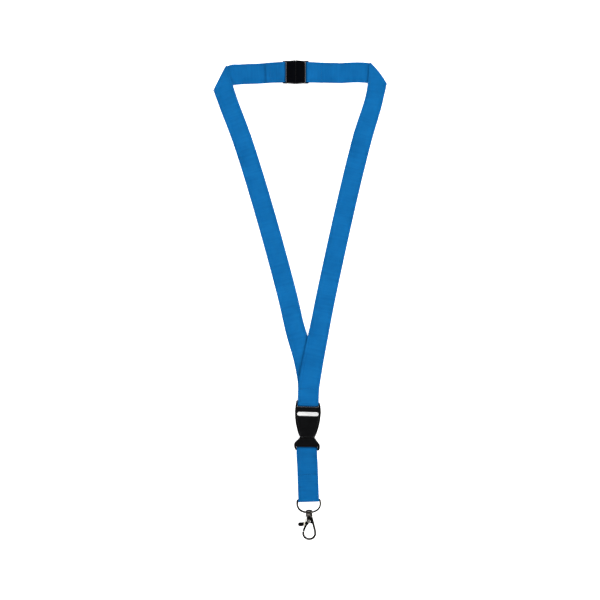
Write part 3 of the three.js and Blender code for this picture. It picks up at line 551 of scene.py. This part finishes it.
def surface_under(rows, point):
    """The height of the highest ribbon surface at a point in plan, or None beside the ribbon."""
    flat_enough, margin, reach = 0.6, 1.0, 1.2
    best = None
    for row in rows:
        if row.normal.z * row.normal.z < flat_enough:
            continue
        offset = Vector((point.x - row.middle.x, point.y - row.middle.y, 0))
        if abs(offset.dot(row.side.normalized())) > RIBBON_WIDTH / 2 + margin:
            continue
        heading = row.side.cross(row.normal).normalized()
        flat = Vector((heading.x, heading.y, 0)).normalized()
        if abs(offset.dot(flat)) < reach:
            drop = (offset.x * row.normal.x + offset.y * row.normal.y) / row.normal.z
            height = row.middle.z - drop + HALF
            best = height if best is None else max(best, height)
    return best


def seam_object(name, middle, turn, rows, material):
    """A zigzag seam of separate thread stitches that sink into the ribbon at their ends."""
    length = RIBBON_WIDTH - 3.0
    stitch, swing, radius = 1.1, 0.8, 0.21
    sunk, rise = 0.22, 0.30
    steps, sides = 10, 8
    count = round(length / stitch)
    rotate = Matrix.Rotation(turn, 4, "Z")
    verts, faces, twist = [], [], []
    for i in range(count):
        sign = 1 if i % 2 else -1
        start = Vector((-length / 2 + length * i / count, sign * -swing, 0))
        end = Vector((-length / 2 + length * (i + 1) / count, sign * swing, 0))
        heading = (rotate @ (end - start)).normalized()
        side = UP.cross(heading).normalized()
        faces += tube_faces(len(verts), steps + 1, sides)
        for k in range(steps + 1):
            t = k / steps
            belly = math.sin(math.pi * t)
            centre = rotate @ start.lerp(end, t) + middle
            ground = surface_under(rows, centre) or middle.z
            centre.z = ground + (rise * belly**0.5 - sunk)
            swell = radius * (0.75 + 0.25 * belly)
            for s in range(sides):
                angle = 2 * math.pi * s / sides
                offset = side * (swell * math.cos(angle)) + UP * (swell * math.sin(angle))
                verts.append(tuple((centre + offset) * MM))
                twist.append((t * (end - start).length, angle * radius, float(i)))
    return mesh_object(name, verts, faces, material, thread_mm=twist)


def tube_object(name, points, radii, material):
    """A round wire through points, with its own radius at each point."""
    sides = 20
    verts = []
    side = None
    for point, heading, radius in zip(points, headings(points), radii):
        if side is None:
            side = heading.orthogonal().normalized()
        side = (side - heading * side.dot(heading)).normalized()
        other = heading.cross(side)
        for s in range(sides):
            angle = 2 * math.pi * s / sides
            p = point + (side * math.cos(angle) + other * math.sin(angle)) * radius
            verts.append(tuple(p * MM))
    faces = tube_faces(0, len(points), sides)
    return mesh_object(name, verts, faces, material, smooth_angle=60)


def ring_object(name, material):
    """The D-ring's wire, bent from the butt joint in its bar right round to the joint's other side."""
    joint, play, arc_steps, wear = 0.15, 0.1, 20, 0.07
    straight = RIBBON_WIDTH / 2 + play
    corner = RING_HALF - straight
    arc_top = -2.4 * corner
    left = [
        (-joint, 0),
        (-straight / 2, 0),
        (-straight, 0),
        (-straight - 0.62 * corner, -0.28 * corner),
        (-RING_HALF + 0.12 * corner, -1.1 * corner),
        (-RING_HALF, arc_top),
    ]
    plan = list(left)
    for i in range(1, arc_steps):
        angle = math.pi + math.pi * i / arc_steps
        turned = (math.cos(angle), math.sin(angle))
        c, d = (math.copysign(abs(q) ** RING_FULLNESS, q) for q in turned)
        plan.append((RING_HALF * c, arc_top + (RING_DEPTH + arc_top) * d))
    plan += [(-x, y) for x, y in reversed(left)]
    line = smooth_route([(x, y - LOWER_LENGTH, RING_MID_Z) for x, y in plan], WIRE_SPACING)
    radii = [RING_WIRE * (1.02 - wear * q.x / RING_HALF) for q in line]
    return tube_object(name, placed(line, lower_place(), LOWER_TURN), radii, material)


def add_sill(mesh, on_plug):
    """A thin strip on an open face of the clip, low on the socket and high on the plug.

    Between them the two strips close the split, and they slide past each other.
    """
    depth, height, shorter = 0.72, 0.9, 1.2
    low, high = (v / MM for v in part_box("breakaway_socket"))
    size = Vector((depth, high.y - low.y - shorter, height))
    x = high.x + (0.05 + size.x / 2 if on_plug else 0.25 - size.x / 2)
    z = high.z - 1.3 if on_plug else low.z + 0.8
    move = Matrix.Translation(Vector((x, (low.y + high.y) / 2, z)) * MM)
    bm = bmesh.new()
    bm.from_mesh(mesh)
    bmesh.ops.create_cube(bm, size=1, matrix=move @ Matrix.Diagonal((*(size * MM), 1)))
    bm.to_mesh(mesh)
    bm.free()


def refined(mesh, name, material, voxel, rounds):
    """A CAD mesh with softly rounded edges, as moulding or casting leaves them."""
    mesh.materials.clear()
    obj = add_to_scene(name, mesh)
    remesh = obj.modifiers.new("remesh", "REMESH")
    remesh.mode = "VOXEL"
    remesh.voxel_size = voxel * MM
    remesh.adaptivity = 0
    smooth = obj.modifiers.new("smooth", "SMOOTH")
    smooth.factor = 0.5
    smooth.iterations = rounds
    thin = obj.modifiers.new("thin", "DECIMATE")
    thin.ratio = 0.5
    graph = bpy.context.evaluated_depsgraph_get()
    made = bpy.data.meshes.new_from_object(obj.evaluated_get(graph))
    bpy.data.objects.remove(obj)
    made.name = name
    made.materials.clear()
    made.materials.append(material)
    made.shade_smooth()
    return add_to_scene(name, made)


# ---- Materials ----


class Nodes:
    """A short way to write a material's node tree."""

    def __init__(self, name):
        self.material = bpy.data.materials.new(name)
        self.material.use_nodes = True
        self.tree = self.material.node_tree
        self.tree.nodes.clear()
        self.shader = self.add("ShaderNodeBsdfPrincipled")
        self.add("ShaderNodeOutputMaterial", {"Surface": self.shader.outputs["BSDF"]})

    def add(self, kind, inputs=None, **settings):
        """A new node, with inputs by name or number."""
        node = self.tree.nodes.new(kind)
        for key, value in settings.items():
            setattr(node, key, value)
        self.feed(node, inputs or {})
        return node

    def feed(self, node, inputs):
        """Links each input to an output of another node, or sets it to a plain value."""
        for key, source in inputs.items():
            if isinstance(source, bpy.types.NodeSocket):
                self.tree.links.new(source, node.inputs[key])
            else:
                node.inputs[key].default_value = source

    def surface(self, inputs):
        """Feeds the shader, and returns the finished material."""
        self.feed(self.shader, inputs)
        return self.material

    def attribute(self, name, output):
        return self.add("ShaderNodeAttribute", attribute_name=name).outputs[output]

    def place_on_object(self):
        return self.add("ShaderNodeTexCoord").outputs["Object"]

    def split(self, vector):
        """The first two parts of a vector."""
        return self.add("ShaderNodeSeparateXYZ", {0: vector}).outputs[:2]

    def stretched(self, vector, scale):
        return self.add("ShaderNodeMapping", {"Vector": vector, "Scale": scale}).outputs[0]

    def math(self, operation, a, b=0.0):
        return self.add("ShaderNodeMath", {0: a, 1: b}, operation=operation).outputs[0]

    def near(self, value, middle, reach):
        """1 within reach of the middle, and 0 outside."""
        inputs = {0: value, 1: middle, 2: reach}
        return self.add("ShaderNodeMath", inputs, operation="COMPARE").outputs[0]

    def weighted(self, *terms):
        """The sum of some values, each times its weight."""
        total, *others = (self.math("MULTIPLY", value, weight) for value, weight in terms)
        for other in others:
            total = self.math("ADD", total, other)
        return total

    def span(self, value, low, high):
        """Maps 0 to 1 onto low to high."""
        return self.math("ADD", self.math("MULTIPLY", value, high - low), low)

    def wave(self, value, pitch, phase=0.0):
        """0 to 1 and back, once in each pitch."""
        turned = self.math("ADD", self.math("MULTIPLY", value, 2 * math.pi / pitch), phase)
        return self.span(self.math("SINE", turned), 0.5, 1.0)

    def noise(self, vector, scale, detail=2.0, roughness=0.5):
        inputs = {"Vector": vector, "Scale": scale, "Detail": detail, "Roughness": roughness}
        return self.add("ShaderNodeTexNoise", inputs).outputs["Fac"]

    def ramp(self, value, stops):
        """A colour between stops of a place and a colour."""
        node = self.add("ShaderNodeValToRGB", {"Fac": value})
        elements = node.color_ramp.elements
        while len(elements) < len(stops):
            elements.new(0.5)
        for element, (place, colour) in zip(elements, stops):
            element.position = place
            element.color = (*colour, 1)
        return node.outputs["Color"]

    def bump(self, height, depth, strength):
        inputs = {"Height": height, "Distance": depth * MM, "Strength": strength}
        self.feed(self.shader, {"Normal": self.add("ShaderNodeBump", inputs).outputs["Normal"]})


def ribbon_material():
    """Ribbed polyester: fine cross ribs, warp threads over them, and a plain selvedge on each edge."""
    rib_pitch, warp_pitch = 0.62, 0.42
    selvedge_width, groove_in, groove_half = 2.208, 2.45, 0.22
    m = Nodes("ribbon_weave")
    weave = m.attribute("weave_mm", "Vector")
    across, along = m.split(weave)
    ribs_at = m.math("ADD", along, m.math("MULTIPLY", m.noise(weave, 0.35), 0.25))
    rib = m.math("POWER", m.wave(ribs_at, rib_pitch), 0.6)
    rib_number = m.math("FLOOR", m.math("DIVIDE", ribs_at, rib_pitch))
    warp = m.wave(across, warp_pitch, m.math("MULTIPLY", rib_number, math.pi))
    inside = m.math("SUBTRACT", RIBBON_WIDTH / 2, m.math("ABSOLUTE", across))
    selvedge = m.math("LESS_THAN", inside, selvedge_width)
    groove = m.near(inside, groove_in, groove_half)
    fuzz = m.noise(weave, 5.0, 3, 0.7)
    height = m.weighted((rib, 0.62), (warp, 0.3), (groove, -0.45), (fuzz, 0.12))
    m.bump(height, 0.09, 0.85)
    bands = m.noise(m.stretched(weave, (0.03, 0.4, 1.0)), 1.0, 4, 0.65)
    cloud = m.weighted((m.noise(weave, 0.05, 3, 0.6), 0.55), (bands, 0.45))
    # Painted shade from the rows: darker at the buckle's mouth, along the top and in the middle of the lower
    # loop
    tone = m.attribute("tone", "Fac")
    # The weave's relief is mixed into the colour too, so its valleys and edge grooves come out darker:
    # painted shade in the hollows
    shade = m.weighted(
        (height, 0.3), (m.span(cloud, -0.9, 1.9), 0.5), (selvedge, -0.05), (tone, 0.3)
    )
    dark, plain, light = (0.001, 0.066, 0.202), (0.003, 0.1, 0.288), (0.006, 0.132, 0.352)
    return m.surface(
        {
            "Base Color": m.ramp(shade, [(0.0, dark), (0.45, plain), (1.0, light)]),
            "Roughness": m.span(warp, 0.72, 0.86),
            "Specular IOR Level": 0.04,
        }
    )


def thread_material():
    """Twisted polyester sewing thread in the ribbon's colour."""
    m = Nodes("sewing_thread")
    thread = m.attribute("thread_mm", "Vector")
    along, around = m.split(thread)
    ply = m.wave(m.math("ADD", along, m.math("MULTIPLY", around, 0.6)), 0.34)
    fibre = m.noise(thread, 14)
    height = m.math("ADD", ply, m.math("MULTIPLY", fibre, 0.3))
    m.bump(height, 0.05, 0.8)
    # The colour follows the twist's relief, darker in the grooves between the plies: painted shade, with a
    # little random fibre tone
    dark, plain, light = (0.001, 0.07, 0.21), (0.003, 0.105, 0.3), (0.005, 0.125, 0.345)
    return m.surface(
        {
            "Base Color": m.ramp(height, [(0.0, dark), (0.6, plain), (1.0, light)]),
            "Roughness": m.span(ply, 0.65, 0.8),
            "Specular IOR Level": 0.06,
        }
    )


def plastic_material(name, low, high, roughness, shine):
    """Black moulded plastic with a fine spark-eroded texture and faint handling marks."""
    m = Nodes(name)
    place = m.place_on_object()
    grain = m.noise(place, 4200, 3, 0.6)
    cloud = m.noise(place, 260, 3, 0.6)
    marks = m.math("GREATER_THAN", m.noise(place, 900, 5, 0.75), 0.66)
    m.bump(grain, 0.03, 0.5)
    shade = m.weighted((cloud, 0.6), (grain, 0.4))
    rough = m.span(cloud, roughness - 0.06, roughness + 0.08)
    return m.surface(
        {
            "Base Color": m.ramp(shade, [(0.25, low), (0.75, high)]),
            "Roughness": m.math("ADD", rough, m.math("MULTIPLY", marks, 0.06)),
            "Specular IOR Level": shine,
        }
    )


def nickel_material(name, low, high, rough_low, rough_high):
    """Polished nickel plate with cloudy tarnish and hairline scratches."""
    edge_tint = 0.12
    m = Nodes(name)
    place = m.place_on_object()
    cloud = m.noise(place, 420, 4, 0.6)
    hair = m.noise(m.stretched(place, (5200, 700, 2600)), 1.0, 3, 0.7)
    m.bump(m.math("ADD", hair, m.noise(place, 2400)), 0.012, 0.4)
    rough = m.span(cloud, rough_low, rough_high)
    return m.surface(
        {
            "Base Color": m.ramp(cloud, [(0.3, low), (0.7, high)]),
            "Roughness": m.math("ADD", rough, m.math("MULTIPLY", hair, 0.06)),
            "Metallic": 1.0,
            "Specular Tint": (edge_tint, edge_tint, edge_tint, 1),
        }
    )


def floor_material():
    m = Nodes("pale_floor")
    shade = m.noise(m.place_on_object(), 3)
    return m.surface(
        {
            "Base Color": m.ramp(shade, [(0.0, (0.93, 0.93, 0.93)), (1.0, (0.95, 0.95, 0.95))]),
            "Roughness": 0.9,
            "Emission Color": (1, 1, 1, 1),
            "Emission Strength": 0.7,
            "Specular IOR Level": 0.1,
        }
    )


# ---- Pieces ----


def ribbons(cloth):
    """Makes the three ribbons, and returns their rows for the sewing."""
    low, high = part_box("junction_stitching")
    centre = (low + high) / 2 / MM
    shift = Vector((centre.x - SEAM_X, centre.y - SEAM_STITCHES_Y, 0))
    left = neck_left_rows(shift)
    right = neck_right_rows(shift)
    lower = lower_rows(lower_place())

    neck_left = ribbon_object("neck_ribbon_left", left, 1, cloth)
    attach(neck_left, "neck_loop")
    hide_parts("neck_ribbon_left_top", "neck_ribbon_left_side")

    neck_right = ribbon_object("neck_ribbon_right", right, 2, cloth)
    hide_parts("neck_ribbon_right_top", "neck_ribbon_right_side", "neck_ribbon_right_end")
    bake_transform(neck_right)

    loop = ribbon_object("lower_ribbon_loop", lower, 3, cloth)
    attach(loop, "insert_section")
    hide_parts("lower_ribbon")
    return {"left": left, "right": right, "lower": lower}


def sewing(rows, thread):
    """Makes the stitches on each stitching node."""
    seams = [
        ("junction_stitching", "junction_stitches", 0, rows["right"], "neck_loop"),
        ("socket_tail_stitching", "socket_tail_stitches", math.pi / 2, rows["left"], "neck_loop"),
        ("plug_tail_stitching", "plug_tail_stitches", math.pi / 2, rows["right"], "plug_end"),
        ("lower_ribbon_stitching", "lower_loop_stitches", LOWER_TURN, rows["lower"], "insert_section"),
    ]
    for node, name, turn, under, body in seams:
        low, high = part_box(node)
        stitches = seam_object(name, (low + high) / 2 / MM, turn, under, thread)
        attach(stitches, body)
        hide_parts(node)


def hardware(nodes):
    """Makes the plastic and metal parts from their CAD nodes, and the ring from its own wire."""
    clip = plastic_material("clip_plastic", (0.0002, 0.0003, 0.0008), (0.0006, 0.0008, 0.0018), 0.36, 0.07)
    buckle = plastic_material("buckle_plastic", (0.0014, 0.0014, 0.0016), (0.003, 0.003, 0.0034), 0.34, 0.12)
    nickel = nickel_material("dark_nickel", (0.026, 0.023, 0.021), (0.06, 0.055, 0.05), 0.14, 0.24)
    # rim is a lighter copy of the dark nickel for the rivet, whose slot is dark nickel: its brightness is a
    # painted highlight on the rivet's rim
    rim = nickel_material("nickel_painted_highlight", (0.3, 0.3, 0.28), (0.46, 0.45, 0.42), 0.24, 0.34)
    spring = nickel_material("spring_steel", (0.72, 0.68, 0.58), (0.85, 0.81, 0.7), 0.5, 0.6)
    # Node, piece, body, material, slot, voxel size and rounds of smoothing
    table = [
        ("breakaway_socket", "clip_socket", "neck_loop", clip, "clip_plastic", 0.13, 3),
        ("breakaway_plug", "clip_plug", "plug_end", clip, "clip_plastic", 0.13, 3),
        ("buckle_housing", "buckle_frame", "neck_loop", buckle, "buckle_plastic", 0.17, 6),
        ("buckle_insert", "buckle_tongue", "insert_section", buckle, "buckle_plastic", 0.17, 6),
        ("buckle_arm_left", "buckle_spring_left", "left_arm", buckle, "buckle_plastic", 0.17, 5),
        ("buckle_arm_right", "buckle_spring_right", "right_arm", buckle, "buckle_plastic", 0.17, 5),
        ("swivel_eye", "swivel", "eye", nickel, "dark_nickel", 0.1, 9),
        ("hook_body", "snap_hook", "hook", nickel, "dark_nickel", 0.12, 6),
        ("gate_lever", "snap_gate", "gate", nickel, "dark_nickel", 0.11, 4),
        # The rivet takes the lighter nickel: a painted highlight
        ("gate_rivet", "snap_rivet", "hook", rim, "dark_nickel", 0.07, 2),
        ("gate_spring", "snap_spring", "gate", spring, "spring_steel", 0.06, 2),
    ]
    for node, name, body, material, slot, voxel, rounds in table:
        mesh = nodes[node].data.copy()
        if node.startswith("breakaway"):
            add_sill(mesh, node == "breakaway_plug")
        piece = refined(mesh, name, material, voxel, rounds)
        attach(piece, body)
        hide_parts(node)
    ring = ring_object("ring_wire", nickel)
    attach(ring, "ring")
    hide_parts("d_ring")


# ---- Scene, in metres ----


def camera():
    """Straight down from two metres, so that a millimetre on the floor is a pixel."""
    data = bpy.data.cameras.new("camera")
    data.sensor_width = 36
    data.lens = 120
    data.clip_start = 0.05
    data.clip_end = 20
    cam = add_to_scene("camera", data)
    cam.location = (0, 0.0004, 2.0)
    bpy.context.scene.camera = cam


def lights():
    """Soft boxes all round, low enough that flat dark parts don't mirror them upwards."""
    # Name, place, size and power
    table = [
        ("right", (2.2, 0.2, 1.5), (1.5, 1.0), 66),
        ("left", (-2.2, 0.2, 1.6), (1.6, 1.2), 46),
        ("far", (0.1, 2.3, 1.6), (1.8, 1.2), 48),
        ("near", (0.1, -2.3, 1.5), (1.8, 1.2), 56),
    ]
    for name, place, size, power in table:
        data = bpy.data.lights.new(name, "AREA")
        data.shape = "RECTANGLE"
        data.size, data.size_y = size
        data.energy = power
        light = add_to_scene(name, data)
        light.location = place
        light.rotation_mode = "QUATERNION"
        light.rotation_quaternion = (-Vector(place)).to_track_quat("-Z", "Y")
    world = bpy.data.worlds.new("studio")
    world.use_nodes = True
    background = world.node_tree.nodes["Background"]
    background.inputs["Color"].default_value = (0.9, 0.95, 1.0, 1)
    background.inputs["Strength"].default_value = 0.08
    bpy.context.scene.world = world
    bpy.context.scene.view_settings.view_transform = "Standard"


def floor():
    """A wide plane, just below the lanyard."""
    half, z = 6, -0.0004
    corners = [(-half, -half, z), (half, -half, z), (half, half, z), (-half, half, z)]
    mesh = bpy.data.meshes.new("floor")
    mesh.from_pydata(corners, [], [(0, 1, 2, 3)])
    mesh.materials.append(floor_material())
    obj = add_to_scene("floor", mesh)


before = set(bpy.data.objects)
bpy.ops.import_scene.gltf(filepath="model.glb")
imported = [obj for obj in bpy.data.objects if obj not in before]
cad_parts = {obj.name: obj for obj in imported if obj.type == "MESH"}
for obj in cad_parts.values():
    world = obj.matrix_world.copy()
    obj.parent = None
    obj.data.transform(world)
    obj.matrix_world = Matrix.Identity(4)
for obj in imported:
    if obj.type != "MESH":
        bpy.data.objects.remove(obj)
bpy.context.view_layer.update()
camera()
lights()
floor()
all_rows = ribbons(ribbon_material())
sewing(all_rows, thread_material())
hardware(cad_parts)
